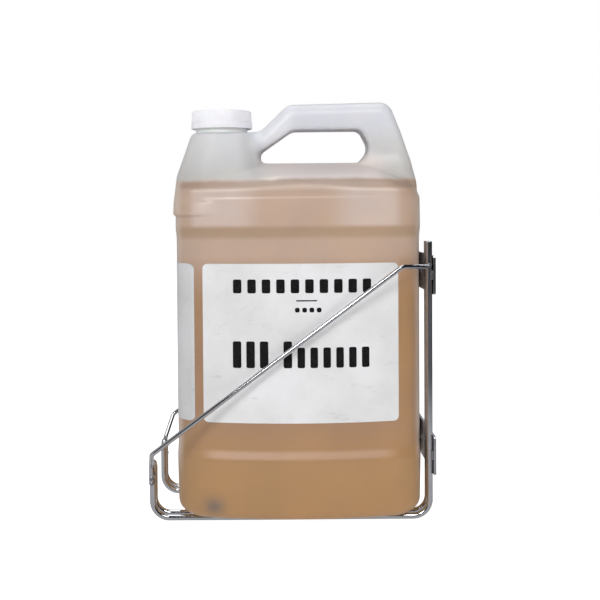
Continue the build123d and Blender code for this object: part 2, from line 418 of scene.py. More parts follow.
# Tones of the liquid and of the empty plastic, as seen, at each height. The liquid's darker rows at 183 and
# 187 are painted shade on the step under the shoulder.
TONES_Z = (0, 30, 50, 64, 140, 158, 170, 180, 183, 187, 190, 205, 212)
TONES = (
    (171, 131, 87), (172, 133, 89), (170, 132, 95), (165, 130, 101), (165, 129, 97),
    (178, 146, 122), (190, 163, 144), (190, 164, 145), (174, 146, 120), (172, 144, 118),
    (189, 162, 142), (190, 164, 145), (186, 160, 141),
)
# The empty plastic's tones are lightened as painted light, for light shining through it.
DRY_Z = (214, 222, 232, 245, 256, 275)
DRY = (
    (191, 184, 180), (190, 187, 184), (197, 196, 196),
    (205, 205, 207), (215, 215, 220), (220, 220, 226),
)
# Tones mixed over the skin: painted highlights on the step above the base, along the shoulder's edge and on
# the liquid's edge; painted reflections under the shoulder; painted shade below the liquid's edge; painted
# light on the shoulder's top and the handle's slanting bar; a painted sheen on the corners; a tan strip and
# a dark grey patch.
RIB_HIGHLIGHT_TONE = (189, 155, 129)
PANEL_REFLECTION_TONE = (203, 184, 174)
GLINT_TONE = (224, 208, 198)
ROOF_SHADE_TONE = (167, 142, 124)
SADDLE_LIGHT_TONE = (219, 207, 203)
SLANT_LIGHT_TONE = (229, 229, 233)
CORNER_SHEEN_TONE = (206, 190, 179)
STRIP_TONE = (172, 132, 88)
DARK_PATCH_TONE = (118, 104, 96)
LIQUID_GLINT_TONE = (240, 228, 215)


def by_height(z, levels, tones):
    table = np.array([linear(t) for t in tones])
    return np.stack([np.interp(z, levels, table[:, i]) for i in range(3)], 1)


def liquid_line(x, y):
    """Height of the liquid's edge, a little uneven where it clings to the wall."""
    wave = 0.9 * np.sin(x / 17.0 + 0.6) + 0.5 * np.sin(x / 7.3 + y / 11.0)
    wave += 0.6 * np.sin(x / 2.3 + y / 5.0) * np.sin(x / 5.9 + 1.0)
    return LIQUID_Z + 0.010 * x + 0.4 * wave


def liquid_tint(x, z, line):
    tint = by_height(z, TONES_Z, TONES)
    # A painted highlight along the upward-facing step above the base.
    rib_highlight = window(z, 40.0, 41.4, 45.0, 46.4) * (1 - step_up(np.abs(x), 52, 66))
    tint = mix(tint, linear(RIB_HIGHLIGHT_TONE), 0.9 * rib_highlight)
    edge = 211.6 + 2.4 * hump(x, 4, 26)
    # Painted reflections of the lamps, in two patches under the shoulder's edge, left and right.
    panel_reflection = window(z, 187.5, 190.5, edge - 0.3, edge + 1.2)
    sides = np.maximum(window(x, -71, -65, -42, -20), window(x, 16, 38, 60, 68))
    tint = mix(tint, linear(PANEL_REFLECTION_TONE), 0.85 * panel_reflection * sides)
    glint = hump(z, edge, 0.8) * (0.25 + 0.75 * sides)
    tint = mix(tint, linear(GLINT_TONE), 0.6 * glint * (np.abs(x) < 70))
    # Painted shade on the roof's steep start, from the shoulder's edge up to the liquid's edge.
    band = step_up(z - edge, 0.8, 2.6) * (1 - step_up(z - line, -1.4, 1.0))
    return mix(tint, linear(ROOF_SHADE_TONE), band)


def empty_tint(x, z):
    empty = by_height(z, DRY_Z, DRY)
    # Painted light on the shoulder's top under the handle's hole.
    saddle_light = window(x, -30, -15, 48, 66) * (1 - step_up(z, 231, 238))
    empty = mix(empty, linear(SADDLE_LIGHT_TONE), saddle_light * 0.8)
    # Painted light on the handle's slanting bar, against the shade under it.
    slant_light = window(x, -36, -28, -8, 2) * step_up(z, 236, 246)
    return mix(empty, linear(SLANT_LIGHT_TONE), slant_light * 0.8)


def jug_tint(p):
    """The skin's colour: liquid behind milky plastic below, empty plastic above, with painted light and
    shade mixed in.
    """
    x, y, z = p.T
    line = liquid_line(x, y)
    dry = step_up(z - line, -1.3, 2.0)
    tint = mix(liquid_tint(x, z, line), empty_tint(x, z), dry)
    # A painted sheen down the rounded corners between faces and ends, below the liquid's edge.
    corner = step_up(np.abs(x), 74.0, 78.5) * step_up(np.abs(y), 12, 34)
    corner = corner * (1 - dry) * step_up(z, 20, 45)
    tint = mix(tint, linear(CORNER_SHEEN_TONE), 0.68 * corner)
    strip = window(x, 62, 66, 71, 75) * window(z, 45, 70, 150, 175)
    tint = mix(tint, linear(STRIP_TONE), 0.6 * strip)
    # A dark grey patch low on the front, left of the middle, near the foot.
    dark_patch = hump(x, -55, 6.5) * hump(z, 9.5, 5.5) * (y < 0)
    tint = mix(tint, linear(DARK_PATCH_TONE), 0.85 * dark_patch)
    # A painted highlight on the liquid's edge, left of the middle.
    liquid_glint = hump(x, -16, 7) * hump(z, line + 1.2, 0.9)
    return mix(tint, linear(LIQUID_GLINT_TONE), 0.7 * liquid_glint)


# -------------------------------------------------------------- materials

def shader(name, rgb, rough, **inputs):
    """A material whose shader has these constants. In a socket's name, _ stands for a space."""
    material = bpy.data.materials.new(name)
    material.use_nodes = True
    surface = material.node_tree.nodes["Principled BSDF"]
    surface.inputs["Base Color"].default_value = (*rgb, 1)
    surface.inputs["Roughness"].default_value = rough
    for key, value in inputs.items():
        surface.inputs[key.replace("_", " ")].default_value = value
    return material


def node(material, kind, **settings):
    made = material.node_tree.nodes.new(kind)
    for key, value in settings.items():
        setattr(made, key, value)
    return made


def link(material, a, b):
    material.node_tree.links.new(a, b)


def feed(material, socket, value):
    """Put a number, a colour or another node's output into a socket."""
    if isinstance(value, bpy.types.NodeSocket):
        link(material, value, socket)
    elif isinstance(value, (int, float)):
        socket.default_value = value
    else:
        socket.default_value = (*value, 1)


def ranged(material, fac, low, high, start=0.0, end=1.0, smooth=False):
    """A number that runs from low to high as fac runs from start to end."""
    kind = "SMOOTHSTEP" if smooth else "LINEAR"
    made = node(material, "ShaderNodeMapRange", interpolation_type=kind)
    for key, value in zip(("From Min", "From Max", "To Min", "To Max"), (start, end, low, high)):
        made.inputs[key].default_value = value
    link(material, fac, made.inputs["Value"])
    return made.outputs["Result"]


def object_place(material):
    return node(material, "ShaderNodeTexCoord").outputs["Object"]


def noise(material, scale, detail=4.0, roughness=0.55, stretch=(1, 1, 1), low=0.4, high=0.6, turn=0.0):
    """A noise in object coordinates, turned about y and stretched, spread between 0 and 1."""
    squeeze = node(material, "ShaderNodeMapping", vector_type="TEXTURE")
    squeeze.inputs["Rotation"].default_value = (0, turn, 0)
    squeeze.inputs["Scale"].default_value = tuple(1 / s for s in stretch)
    made = node(material, "ShaderNodeTexNoise")
    made.inputs["Scale"].default_value = scale
    made.inputs["Detail"].default_value = detail
    made.inputs["Roughness"].default_value = roughness
    link(material, object_place(material), squeeze.inputs["Vector"])
    link(material, squeeze.outputs["Vector"], made.inputs["Vector"])
    return ranged(material, made.outputs["Fac"], 0.0, 1.0, low, high)


def between(material, fac, a, b):
    """A colour between a and b, each a colour or a socket, as fac says."""
    made = node(material, "ShaderNodeMix", data_type="RGBA")
    for socket, value in ((made.inputs[0], fac), (made.inputs[6], a), (made.inputs[7], b)):
        feed(material, socket, value)
    return made.outputs[2]


def product(material, a, b):
    """Two colours multiplied."""
    made = node(material, "ShaderNodeMix", data_type="RGBA", blend_type="MULTIPLY")
    made.inputs[0].default_value = 1.0
    link(material, a, made.inputs[6])
    link(material, b, made.inputs[7])
    return made.outputs[2]


def times(material, a, b):
    made = node(material, "ShaderNodeMath", operation="MULTIPLY")
    for socket, value in zip(made.inputs, (a, b)):
        feed(material, socket, value)
    return made.outputs[0]


def finish_material(material, colour=None, rough=None, height=None, distance=0.0002, strength=0.5):
    surface = material.node_tree.nodes["Principled BSDF"]
    if colour is not None:
        link(material, colour, surface.inputs["Base Color"])
    if rough is not None:
        link(material, rough, surface.inputs["Roughness"])
    if height is not None:
        bump = node(material, "ShaderNodeBump")
        bump.inputs["Distance"].default_value = distance
        bump.inputs["Strength"].default_value = strength
        link(material, height, bump.inputs["Height"])
        link(material, bump.outputs["Normal"], surface.inputs["Normal"])
    return material


def tone(rgb, shade=1.0):
    return tuple(shade * linear(rgb))


def jug_material():
    m = shader(
        "jug_plastic", (0.5, 0.4, 0.3), 0.4, Specular_IOR_Level=0.45,
        Subsurface_Weight=0.25, Subsurface_Radius=(1.0, 0.8, 0.6), Subsurface_Scale=0.004,
        Coat_Weight=0.35, Coat_Roughness=0.28,
    )
    tint = node(m, "ShaderNodeVertexColor", layer_name="tint").outputs["Color"]
    cloud = noise(m, 28, 5, 0.6, low=0.35, high=0.65)
    blotch = noise(m, 9, 3, 0.5, stretch=(1, 1, 0.6), low=0.38, high=0.62)
    fine = between(m, cloud, (0.955, 0.965, 0.985), (1.03, 1.02, 1.0))
    broad = between(m, blotch, (0.965, 0.972, 0.985), (1.03, 1.025, 1.01))
    colour = product(m, product(m, tint, fine), broad)
    # The mould's parting line stands out along the middle of the ends, the handle and the foot.
    split = node(m, "ShaderNodeSeparateXYZ")
    link(m, object_place(m), split.inputs["Vector"])
    away = node(m, "ShaderNodeMath", operation="ABSOLUTE")
    link(m, split.outputs["Y"], away.inputs[0])
    seam = ranged(m, away.outputs[0], 2.5, 0.0, 0.0001, 0.0007, smooth=True)
    orange_peel = noise(m, 420, 3, 0.6, low=0.3, high=0.7)
    relief = node(m, "ShaderNodeMath", operation="ADD")
    link(m, orange_peel, relief.inputs[0])
    link(m, seam, relief.inputs[1])
    rough = ranged(m, noise(m, 60, 4, low=0.35, high=0.65), 0.34, 0.46)
    return finish_material(m, colour, rough, relief.outputs[0], 0.00012, 0.4)


def paper_material(name, shade):
    """Label paper with fibres, worn streaks, slanting scratches and specks; shade below one darkens the
    clean paper as painted shade.
    """
    m = shader(name, (0.7, 0.7, 0.7), 0.42, Specular_IOR_Level=0.4)
    grey = tone((168, 166, 165))
    fibre = noise(m, 900, 4, 0.7, low=0.35, high=0.65)
    cloud = noise(m, 22, 5, 0.6, low=0.35, high=0.65)
    paper = between(m, cloud, tone((213, 212, 212), shade), tone((225, 225, 227), shade))
    streak = noise(m, 46, 6, 0.75, stretch=(1.0, 1.0, 3.4), low=0.60, high=0.71)
    slanting = math.radians(-38)
    scratch = noise(m, 70, 5, 0.7, stretch=(0.22, 1.0, 2.6), low=0.60, high=0.68, turn=slanting)
    patch = noise(m, 14, 2, 0.5, low=0.5, high=0.6)
    speck = noise(m, 620, 2, 0.5, low=0.70, high=0.78)
    worn = between(m, times(m, streak, 0.36), paper, grey)
    worn = between(m, times(m, times(m, scratch, patch), 0.45), worn, grey)
    worn = between(m, times(m, speck, 0.35), worn, grey)
    return finish_material(m, worn, ranged(m, cloud, 0.36, 0.5), fibre, 0.00004, 0.4)


def ink_material():
    m = shader("label_ink", (0.01, 0.01, 0.011), 0.5, Specular_IOR_Level=0.15)
    grain = noise(m, 800, 4, 0.6, low=0.35, high=0.7)
    colour = between(m, grain, (0.004, 0.004, 0.005), (0.016, 0.015, 0.015))
    return finish_material(m, colour, ranged(m, grain, 0.3, 0.5), grain, 0.00002, 0.3)


def cap_material():
    m = shader(
        "cap_plastic", (0.85, 0.85, 0.87), 0.42, Specular_IOR_Level=0.45,
        Subsurface_Weight=0.15, Subsurface_Scale=0.002,
    )
    cloud = noise(m, 70, 5, 0.6, low=0.35, high=0.65)
    colour = between(m, cloud, tone((234, 233, 238)), tone((243, 242, 247)))
    grain = noise(m, 1100, 3, 0.6, low=0.3, high=0.7)
    return finish_material(m, colour, ranged(m, cloud, 0.36, 0.5), grain, 0.00005, 0.4)


def neck_material():
    m = shader(
        "neck_plastic", (0.62, 0.62, 0.61), 0.4, Subsurface_Weight=0.2, Subsurface_Scale=0.003,
    )
    cloud = noise(m, 50, 4, low=0.35, high=0.65)
    # The neck is lightened as painted light, against the cap's shadow on it.
    colour = between(m, cloud, tone((244, 244, 242)), tone((250, 250, 248)))
    return finish_material(m, colour, ranged(m, cloud, 0.34, 0.46), cloud, 0.00005, 0.3)


def foam_material():
    m = shader("liner_foam", (0.85, 0.85, 0.82), 0.8)
    cells = node(m, "ShaderNodeTexVoronoi")
    cells.inputs["Scale"].default_value = 2500
    link(m, object_place(m), cells.inputs["Vector"])
    cloud = noise(m, 120, 4, low=0.35, high=0.65)
    colour = between(m, cloud, (0.78, 0.78, 0.74), (0.88, 0.88, 0.86))
    return finish_material(m, colour, None, cells.outputs["Distance"], 0.0001, 0.6)


def shampoo_material():
    m = shader("shampoo", (0.4, 0.25, 0.14), 0.12, Specular_IOR_Level=0.5)
    cloud = noise(m, 18, 5, 0.6, low=0.35, high=0.65)
    colour = between(m, cloud, tone((172, 130, 90)), tone((190, 150, 112)))
    return finish_material(m, colour, ranged(m, cloud, 0.08, 0.16), cloud, 0.0001, 0.2)


def chrome(name, dark, light, rough_low, rough_high, scratches):
    m = shader(name, light, rough_low, Metallic=1.0)
    cloud = noise(m, 140, 5, 0.65, low=0.35, high=0.65)
    drawn = noise(m, 900, 3, 0.6, low=0.35, high=0.65)
    colour = between(m, times(m, cloud, 0.18), light, dark)
    rough = ranged(m, cloud, rough_low, rough_high)
    return finish_material(m, colour, rough, drawn, 0.00003, scratches)


# ------------------------------------------------------------ other pieces

def sheet(front, back):
    """A closed thin sheet from two grids of points, shape (rows, columns, 3)."""
    rows, cols = front.shape[:2]
    points = np.concatenate([front.reshape(-1, 3), back.reshape(-1, 3)])
    n = rows * cols
    faces = []
    for r in range(rows - 1):
        for c in range(cols - 1):
            a = r * cols + c
            faces.append((a, a + 1, a + cols + 1, a + cols))
            faces.append((n + a, n + a + cols, n + a + cols + 1, n + a + 1))
    rim = [c for c in range(cols)] + [r * cols + cols - 1 for r in range(1, rows)]
    rim += [(rows - 1) * cols + c for c in range(cols - 2, -1, -1)]
    rim += [r * cols for r in range(rows - 2, 0, -1)]
    for a, b in zip(rim, rim[1:] + rim[:1]):
        faces.append((b, a, n + a, n + b))
    return points, faces


def on_panel(across, offset, along_x):
    """The other plan coordinate of the panel's surface, standing out by offset."""
    low, high = np.zeros_like(across), np.full_like(across, 90.0)
    for _ in range(40):
        middle = (low + high) / 2
        x, y = (across, middle) if along_x else (middle, across)
        out = panel_side(x, y) > offset
        high = np.where(out, middle, high)
        low = np.where(out, low, middle)
    return low


def corner_pull(heights, full, corner):
    """How far a rounded sheet's side edge stands in at each height."""
    near_edge = np.minimum(heights, full - heights)
    inside = np.sqrt(np.maximum(corner**2 - (corner - near_edge) ** 2, 0))
    return np.where(near_edge < corner, corner - inside, 0)


def panel_grid(u0, u1, z0, z1, corner, offset, wall, step):
    """Grid points on one wall of the panel, with the sheet's corners rounded."""
    cols = max(3, int((u1 - u0) / step) + 1)
    full = z1 - z0
    bend = [corner * (1 - math.cos(t)) for t in np.linspace(0, math.pi / 2, 7)]
    inner = np.linspace(bend[-1], full - bend[-1], max(3, int(full / step)))
    heights = np.array(sorted(set([*bend, *inner, *[full - b for b in bend]])))
    out = np.zeros((len(heights), cols, 3))
    for r, (h, p) in enumerate(zip(heights, corner_pull(heights, full, corner))):
        u = np.linspace(u0 + p, u1 - p, cols)
        v = on_panel(u, offset, wall in ("front", "back"))
        x, y = {"front": (u, -v), "back": (-u, v), "end": (-v, -u)}[wall]
        out[r] = np.stack([x, y, np.full(cols, z0 + h)], 1)
    return out


def stuck_sheet(area, corner, out, under, wall, step):
    """A closed sheet on one wall, reaching from under to out of the panel's surface."""
    front = panel_grid(*area, corner, out, wall, step)
    back = panel_grid(*area, corner, under, wall, step)
    return sheet(front, back)


def merged(parts):
    points, faces, count = [], [], 0
    for p, f in parts:
        points.append(p)
        faces += [tuple(i + count for i in face) for face in f]
        count += len(p)
    return np.concatenate(points), faces


def lathe(profile, turns, radius_at=None):
    """A closed ring from (r, z) points, with an optional change of r at each angle."""
    angles = np.linspace(0, 2 * math.pi, turns, endpoint=False)
    rows = len(profile)
    points = np.zeros((turns, rows, 3))
    for i, t in enumerate(angles):
        for k, (r, z) in enumerate(profile):
            r = r + (radius_at(t, z, r) if radius_at else 0)
            points[i, k] = (NECK_X + r * math.cos(t), r * math.sin(t), z)
    faces = []
    for i in range(turns):
        j = (i + 1) % turns
        for k in range(rows):
            m = (k + 1) % rows
            faces.append((i * rows + k, j * rows + k, j * rows + m, i * rows + m))
    return points.reshape(-1, 3), faces


def cap_mesh():
    """The cap: a plain band below, fine upright ribs above it, a rounded rim and a sunk top."""
    h = CAP_TOP - CAP_BOTTOM
    band_top = CAP_BOTTOM + CAP_BAND
    rib_top = CAP_TOP - 0.7
    top_r = CAP_R - 0.6
    dish = CAP_TOP - 0.3
    under = CAP_TOP - 1.5
    outer = [
        (CAP_R - 0.35, CAP_BOTTOM), (CAP_R - 0.08, CAP_BOTTOM + 0.12), (CAP_R, CAP_BOTTOM + 0.4),
        (CAP_R - 0.05, CAP_BOTTOM + 2.2), (CAP_R - 0.1, band_top - 0.3), (CAP_R - 0.42, band_top),
    ]
    for z in np.linspace(band_top + 0.25, CAP_TOP - 1.25, 8):
        outer.append((CAP_R - 0.30 - 0.3 * (z - CAP_BOTTOM) / h, z))
    for t in np.linspace(0.15, math.pi / 2, 6):
        outer.append((top_r - 1.1 + 1.0 * math.cos(t), CAP_TOP - 1.1 + 1.1 * math.sin(t)))
    outer += [(top_r - 2.2, CAP_TOP), (top_r - 2.6, dish), (3.0, dish), (0.4, dish)]
    inner = [
        (0.4, under), (CAP_BORE - 0.6, under), (CAP_BORE, under - 0.6),
        (CAP_BORE, CAP_BOTTOM + 0.4), (CAP_R - 0.9, CAP_BOTTOM),
    ]

    def ribs(t, z, r):
        if r < CAP_BORE + 0.2 or z < band_top + 0.1 or z > rib_top:
            return 0.0
        fade = min(1, (z - band_top) / 0.5, (rib_top - z) / 0.6)
        return RIB_DEPTH * max(fade, 0) * (abs(math.cos(CAP_RIBS / 2 * t)) - 0.6)

    return lathe(outer + inner, 6 * CAP_RIBS, ribs)


def neck_mesh():
    """The neck finish: a ring above the tower with one thread ridge around it."""
    low = TOWER_TOP - 1.5
    ring = lathe([
        (NECK_R + 1.6, low), (NECK_R + 1.5, TOWER_TOP + 0.1), (NECK_R + 0.5, TOWER_TOP + 0.5),
        (NECK_R, TOWER_TOP + 1.3), (NECK_R, NECK_TOP - 0.9), (NECK_R - 0.25, NECK_TOP - 0.2),
        (NECK_R - 0.6, NECK_TOP), (BORE_R + 0.4, NECK_TOP), (BORE_R, NECK_TOP - 0.4), (BORE_R, low),
    ], 144)
    steps = 120
    points = []
    for i in range(steps + 1):
        s = i / steps
        t = 2 * math.pi * THREAD_TURNS * s
        z = THREAD_START + THREAD_PITCH * THREAD_TURNS * s
        crest = NECK_R + THREAD_HEIGHT * min(1.0, s / 0.06, (1 - s) / 0.06)
        for r, dz in ((NECK_R - 0.4, -1.05), (crest, -0.45), (crest, 0.45), (NECK_R - 0.4, 1.05)):
            points.append((NECK_X + r * math.cos(t), r * math.sin(t), z + dz))
    faces = [(3, 2, 1, 0), tuple(steps * 4 + k for k in range(4))]
    for i in range(steps):
        for k in range(4):
            m = (k + 1) % 4
            faces.append((i * 4 + k, i * 4 + m, i * 4 + 4 + m, i * 4 + 4 + k))
    return merged([ring, (np.array(points), faces)])


def bent(points, radii):
    """A path through 3-D corners, each rounded to its own radius, with its arcs in short steps."""
    points = [np.array(p, float) for p in points]
    out = [points[0]]
    for before, p, after, r in zip(points, points[1:], points[2:], radii):
        a = (before - p) / np.linalg.norm(before - p)
        b = (after - p) / np.linalg.norm(after - p)
        half = math.acos(np.clip(a @ b, -1, 1)) / 2
        middle = (a + b) / np.linalg.norm(a + b)
        centre = p + middle * r / math.sin(half)
        start = p + a * r / math.tan(half) - centre
        end = p + b * r / math.tan(half) - centre
        sweep = math.pi - 2 * half
        steps = max(6, int(sweep / math.radians(6)))
        for k in range(steps + 1):
            t = k / steps
            w0, w1 = math.sin((1 - t) * sweep), math.sin(t * sweep)
            out.append(centre + (w0 * start + w1 * end) / math.sin(sweep))
    out.append(points[-1])
    return np.array(out)


def with_edge_steps(path):
    """The path with a point just inside each end, where the sawn edge is broken."""
    first = path[1] - path[0]
    last = path[-1] - path[-2]
    start = path[0] + first * EDGE_BREAK / np.linalg.norm(first)
    end = path[-1] - last * EDGE_BREAK / np.linalg.norm(last)
    return np.array([path[0], start, *path[1:-1], end, path[-1]])


def tube(path, radius, sides=20):
    """A round bar with sawn ends, each edge slightly broken."""
    path = with_edge_steps(path)
    steps = np.diff(path, axis=0)
    steps /= np.linalg.norm(steps, axis=1)[:, None]
    along = np.concatenate([steps[:1], steps[1:] + steps[:-1], steps[-1:]])
    along /= np.linalg.norm(along, axis=1)[:, None]
    side = np.cross(along[0], [0.3, 1.0, 0.2])
    t = np.linspace(0, 2 * math.pi, sides, endpoint=False)[:, None]
    rings = []
    for i, (p, d) in enumerate(zip(path, along)):
        side = side - d * (side @ d)
        side /= np.linalg.norm(side)
        r = radius - EDGE_BREAK if i in (0, len(path) - 1) else radius
        rings.append(p + r * (np.cos(t) * side + np.sin(t) * np.cross(d, side)))
    points = np.concatenate(rings)
    faces = [tuple(range(sides - 1, -1, -1)), tuple(range(len(points) - sides, len(points)))]
    for i in range(len(path) - 1):
        for k in range(sides):
            m = (k + 1) % sides
            a = i * sides
            faces.append((a + k, a + m, a + sides + m, a + sides + k))
    return points, faces


def blob(centre, radius, seed, squash):
    """A lumpy bead of weld metal."""
    rng = np.random.default_rng(seed)
    rows, cols = 12, 18
    waves = rng.normal(size=(6, 3)) * 2.2
    phase = rng.uniform(0, 6.28, 6)
    points = [(0, 0, 1)]
    for i in range(1, rows):
        polar = math.pi * i / rows
        for k in range(cols):
            t = 2 * math.pi * k / cols
            points.append((math.sin(polar) * math.cos(t), math.sin(polar) * math.sin(t), math.cos(polar)))
    points.append((0, 0, -1))
    points = np.array(points)
    lumps = np.sin(points @ waves.T + phase).mean(1)
    shaped = points * (0.92 + 0.3 * lumps)[:, None] * radius * np.array(squash) + np.array(centre)
    faces = []
    for k in range(cols):
        m = (k + 1) % cols
        faces.append((0, 1 + k, 1 + m))
        for i in range(rows - 2):
            a = 1 + i * cols
            faces.append((a + k, a + cols + k, a + cols + m, a + m))
        a = 1 + (rows - 2) * cols
        faces.append((len(points) - 1, a + m, a + k))
    return shaped, faces


# ------------------------------------------------------------ jug and cap

def build_jug():
    points, quads = jug_skin()
    jug = put("jug_skin", points, quads, "bottle", "jug_plastic", jug_material(), ["bottle_shell"])
    tint = jug.data.color_attributes.new("tint", "FLOAT_COLOR", "POINT")
    rgba = np.ones((len(jug.data.vertices), 4), np.float32)
    rest = np.array([v.co for v in jug.data.vertices]) / MM - np.array([JUG_X, 0, JUG_Z])
    rgba[:, :3] = jug_tint(rest)
    tint.data.foreach_set("color", rgba.ravel())


def build_labels():
    paper = paper_material("label_paper", 1.0)
    # The end label's paper is darkened as painted shade, for the weaker light on that end.
    end_paper_shaded = paper_material("end_label_shaded_paper", 0.8)
    z0, z1 = LABEL_Z - LABEL_H / 2, LABEL_Z + LABEL_H / 2
    for name, wall, middle, width, material in (
        ("front_label", "front", LABEL_X, LABEL_W, paper),
        ("back_label", "back", -LABEL_X, LABEL_W, paper),
        ("end_label", "end", 0.0, END_LABEL_W, end_paper_shaded),
    ):
        area = (middle - width / 2, middle + width / 2, z0, z1)
        points, faces = stuck_sheet(area, LABEL_CORNER, LABEL_T - 0.05, -0.08, wall, 2.0)
        put(name + "_sheet", points, faces, "bottle", "label_paper", material, [name], 40)


def build_print(name, wall, boxes, ink):
    parts = []
    for area in boxes:
        corner = min(1.1, (area[3] - area[2]) / 2.5)
        parts.append(stuck_sheet(area, corner, LABEL_T, LABEL_T - PRINT_T, wall, 1.5))
    points, faces = merged(parts)
    put(name, points, faces, "bottle", "label_paper", ink, sharp=40)


def row(first, pitch, width, count, z0, z1):
    """Blocks side by side: (left, right, bottom, top) of each."""
    return [(first + pitch * k, first + pitch * k + width, z0, z1) for k in range(count)]


def lines(left, right, steps, shorter, top, pitch, thick, count):
    """Lines of text as plain bars, one under another, their ends ragged in turn."""
    return [
        (left, right - (k % steps) * shorter, top - pitch * k, top - pitch * k + thick)
        for k in range(count)
    ]


def build_prints():
    """Blank print: bars and blocks in place of words."""
    ink = ink_material()
    heading = row(-41.8, 9.15, 5.4, 10, 146.4, 155.2)
    rule = [(-1.9, 11.4, 141.2, 142.0)]
    small = row(-2.6, 4.6, 3.0, 4, 134.2, 137.2)
    words = row(-42.2, 8.6, 5.4, 3, 98.9, 115.9) + [(-10.0, -4.6, 98.9, 115.9)]
    words += row(-1.2, 8.2, 4.8, 6, 98.9, 111.9)
    build_print("front_label_print", "front", heading + rule + small + words, ink)
    back = lines(-46, 46, 3, 9, 148, 5.2, 1.4, 6) + lines(-46, 40, 4, 8, 108, 4.2, 1.0, 9)
    build_print("back_label_print", "back", back, ink)
    build_print("end_label_print", "end", lines(-34, 30, 3, 8, 142, 5.0, 1.2, 5), ink)


def build_closure():
    put("ribbed_cap", *cap_mesh(), "cap", "cap_plastic", cap_material(), ["screw_cap"], 50)
    put("neck_finish", *neck_mesh(), "bottle", "jug_plastic", neck_material(), sharp=40)


# ------------------------------------------------------------------- rack

# The side frames follow the CAD rods. The guards follow theirs with tighter bends.
ROD_D = 4.0
GUARD_D = 3.0
EDGE_BREAK = 0.35
frame_low, frame_high = (np.array(v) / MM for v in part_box("front_side_frame"))
guard_low, guard_high = (np.array(v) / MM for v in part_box("front_guard_rod"))
OUTER_Y = -frame_low[1] - ROD_D / 2
INNER_Y = -frame_high[1] + ROD_D / 2
LEG_X = frame_low[0] + ROD_D / 2
BACK_X = frame_high[0] - ROD_D / 2
ROD_Z = frame_low[2] + ROD_D / 2
BACK_TOP = frame_high[2]
LEG_TOP = 37.0
FRAME_BEND = 11.0
LEG_BEND = (OUTER_Y - INNER_Y) / 2 - 0.05
FOOT_X = guard_low[0] + GUARD_D / 2
FOOT_Y = OUTER_Y + (ROD_D + GUARD_D) / 2
FOOT_Z = 25.0
GUARD_Y = -guard_low[1] - GUARD_D / 2
GUARD_TOP = guard_high[2] - GUARD_D / 2
GUARD_END_Z = 165.6
GUARD_BENDS = (5.0, 3.2, 3.6)


def rack_piece(name, parts, material, slot, replaces):
    points, faces = merged(parts)
    place = np.array([JUG_X, 0, JUG_Z])
    put(name, points - place, faces, "rack", slot, material, replaces, 40)


def hairpin_path(side):
    """A side frame: up at the wall, along the bottom, over at the leg and back the same way."""
    y0, y1 = side * OUTER_Y, side * INNER_Y
    route = [
        (BACK_X, y0, BACK_TOP), (BACK_X, y0, ROD_Z), (LEG_X, y0, ROD_Z), (LEG_X, y0, LEG_TOP),
        (LEG_X, y1, LEG_TOP), (LEG_X, y1, ROD_Z), (BACK_X, y1, ROD_Z), (BACK_X, y1, BACK_TOP),
    ]
    return bent(route, (FRAME_BEND, FRAME_BEND, LEG_BEND, LEG_BEND, FRAME_BEND, FRAME_BEND))


def guard_path(side):
    """A guard rod: up the leg, out past the jug, slanting up along it and in to the wall."""
    return bent([
        (FOOT_X, side * FOOT_Y, FOOT_Z), (FOOT_X, side * FOOT_Y, LEG_TOP),
        (-88.6, side * GUARD_Y, 49.8), (69.4, side * GUARD_Y, GUARD_TOP + 0.3),
        (BACK_X - 1.6, side * FOOT_Y, GUARD_END_Z),
    ], GUARD_BENDS)


def weld_beads(side):
    """The beads between leg and guard, over the guard's foot, and at its upper end."""
    seam_y = side * (OUTER_Y + ROD_D / 2)
    foot_y = side * FOOT_Y
    return [
        blob((LEG_X + 0.3, seam_y, 31.4), 2.0, 3 + side, (1.0, 0.75, 1.15)),
        blob((LEG_X + 0.2, seam_y, 26.6), 1.9, 8 + side, (1.0, 0.75, 1.25)),
        blob((FOOT_X + 0.25, foot_y + 0.6 * side, 28.6), 1.7, 21 + side, (1.0, 0.85, 1.1)),
        blob((FOOT_X + 0.3, foot_y + 0.5 * side, 25.4), 1.6, 26 + side, (1.0, 0.85, 0.9)),
        blob((BACK_X - 1.0, seam_y + 0.2 * side, 165.8), 2.0, 13 + side, (1.2, 0.8, 1.1)),
    ]


def build_rack():
    wire = chrome("chrome_wire", (0.40, 0.41, 0.44), (0.70, 0.71, 0.74), 0.05, 0.12, 0.05)
    plate = chrome("chrome_plate", (0.30, 0.30, 0.33), (0.62, 0.63, 0.66), 0.12, 0.24, 0.15)
    weld = chrome("weld_metal", (0.10, 0.10, 0.12), (0.36, 0.37, 0.40), 0.16, 0.4, 1.0)
    for side, end in ((-1, "front"), (1, "rear")):
        frame_rod = [tube(hairpin_path(side), ROD_D / 2, 24)]
        rack_piece(end + "_hairpin", frame_rod, wire, "chrome_wire", [end + "_side_frame"])
        guard = [tube(guard_path(side), GUARD_D / 2)]
        rack_piece(end + "_guard", guard, wire, "chrome_wire", [end + "_guard_rod"])
    beads = weld_beads(-1) + weld_beads(1)
    rack_piece("guard_weld_beads", beads, weld, "weld_metal", ["guard_welds"])
    finish_cad_node("upper_wall_plate", plate)
    finish_cad_node("lower_wall_plate", plate)
    finish_cad_node("plate_welds", weld)


def finish_cad_node(name, material):
    """Give a kept CAD node its own material."""
    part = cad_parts[name]
    part.data.materials.clear()
    part.data.materials.append(material)


build_jug()
build_labels()
build_prints()
build_closure()
build_rack()
finish_cad_node("shampoo_fill", shampoo_material())
finish_cad_node("cap_liner", foam_material())


# ------------------------------------------------------------------ stage

FLOOR_HALF = 6.0
FLOOR_SEEN = 0.95
FLOOR_GLOW = 0.63
